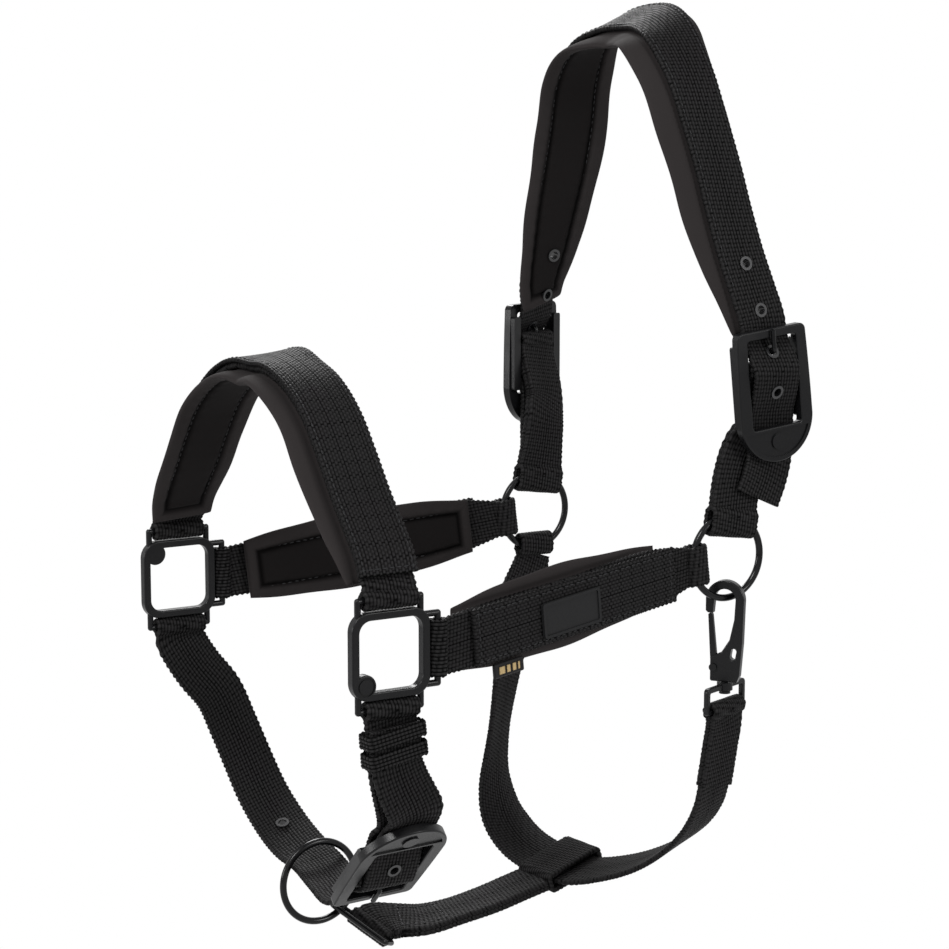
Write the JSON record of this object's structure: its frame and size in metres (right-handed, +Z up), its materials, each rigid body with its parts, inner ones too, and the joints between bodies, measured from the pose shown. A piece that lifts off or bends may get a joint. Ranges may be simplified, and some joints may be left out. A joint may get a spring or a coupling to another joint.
{
  "type": "headcollar",
  "caption": "Black padded webbing headcollar with rounded-square corner frames, cheek rings, tongue buckles each side of the crown and on the chin strap, and a swivel snap hook at the throat.",
  "frame": {"origin": "Midway between the centres of the two cheek rings.", "axes": "-Y towards the horse's nose, +X the horse's left (near) side, +Z up towards the poll."},
  "size_m": [0.2105, 0.25, 0.4316],
  "materials": {
    "webbing": "woven black polyester webbing, matt with a slight sheen",
    "padding": "black knitted cloth over soft foam, matt",
    "eyelet_metal": "black enamelled eyelets",
    "cast_metal": "black satin coated castings",
    "wire_metal": "black satin coated wire",
    "patch_rubber": "black moulded patch with a raised border",
    "tab_label": "black woven tab with plain gold bars"
  },
  "bodies": {
    "crown": {"crown_strap": "webbing", "crown_pad": "padding", "crown_eyelets": "eyelet_metal", "near_upper_cheek_strap": "webbing", "far_upper_cheek_strap": "webbing", "near_crown_buckle": "cast_metal", "far_crown_buckle": "cast_metal", "near_crown_buckle_pin": "wire_metal", "far_crown_buckle_pin": "wire_metal"},
    "near_tongue": {"near_crown_tongue": "wire_metal"},
    "far_tongue": {"far_crown_tongue": "wire_metal"},
    "near_ring": {"near_cheek_ring": "wire_metal"},
    "far_ring": {"far_cheek_ring": "wire_metal"},
    "face": {"near_cheek_strap": "webbing", "far_cheek_strap": "webbing", "near_cheek_cover": "webbing", "far_cheek_cover": "webbing", "near_cheek_pad": "padding", "far_cheek_pad": "padding", "badge": "patch_rubber", "size_tab": "tab_label", "near_corner_frame": "cast_metal", "far_corner_frame": "cast_metal", "nose_strap": "webbing", "nose_cover": "webbing", "nose_pad": "padding", "chin_strap": "webbing", "chin_eyelets": "eyelet_metal", "chin_billet": "webbing", "chin_keepers": "webbing", "chin_buckle": "cast_metal", "chin_buckle_pin": "wire_metal", "jaw_strap": "webbing", "throat_strap": "webbing", "swivel_eye": "cast_metal"},
    "chin_tongue": {"chin_tongue": "wire_metal"},
    "lead_ring": {"lead_ring": "wire_metal"},
    "jaw_link": {"jaw_link": "wire_metal"},
    "hook": {"snap_hook": "cast_metal", "snap_rivet": "wire_metal"},
    "hook_gate": {"snap_gate": "wire_metal"}
  },
  "joints": [
    {"name": "cheek_swing", "type": "hinge", "parent": "crown", "child": "face", "pos_m": [0, 0, 0], "axis": [1, 0, 0], "range_deg": [-8, 8]},
    {"name": "near_ring_spin", "type": "hinge", "parent": "crown", "child": "near_ring", "pos_m": [0.079, 0, 0], "axis": [1, 0, 0], "continuous": true},
    {"name": "far_ring_spin", "type": "hinge", "parent": "crown", "child": "far_ring", "pos_m": [-0.079, 0, 0], "axis": [1, 0, 0], "continuous": true},
    {"name": "near_tongue_hinge", "type": "hinge", "parent": "crown", "child": "near_tongue", "pos_m": [0.0847, 0.01758, 0.08534], "axis": [0, 0.9939, 0.11], "range_deg": [0, 4]},
    {"name": "far_tongue_hinge", "type": "hinge", "parent": "crown", "child": "far_tongue", "pos_m": [-0.08719, 0.00493, 0.0855], "axis": [0.3499, -0.9368, 0], "range_deg": [0, 4]},
    {"name": "chin_tongue_hinge", "type": "hinge", "parent": "face", "child": "chin_tongue", "pos_m": [0.06179, -0.17026, -0.12342], "axis": [-0.0256, -0.999, -0.0356], "range_deg": [0, 4]},
    {"name": "lead_ring_spin", "type": "hinge", "parent": "face", "child": "lead_ring", "pos_m": [-0.018, -0.1575, -0.151], "axis": [1, 0, 0], "continuous": true},
    {"name": "jaw_link_tilt", "type": "hinge", "parent": "face", "child": "jaw_link", "pos_m": [-0.00873, -0.13617, -0.17401], "axis": [0.8029, 0.4215, -0.4215], "range_deg": [-4, 4]},
    {"name": "hook_swivel", "type": "hinge", "parent": "face", "child": "hook", "pos_m": [0.079, 0, -0.0573], "axis": [0, 0, 1], "range_deg": [-35, 5]},
    {"name": "gate_hinge", "type": "hinge", "parent": "hook", "child": "hook_gate", "pos_m": [0.0749, -0.00287, -0.0508], "axis": [0.5736, -0.8192, 0], "range_deg": [-14, 0], "stiffness_Nm_per_rad": 0.02, "springref_deg": 20.05}
  ]
}
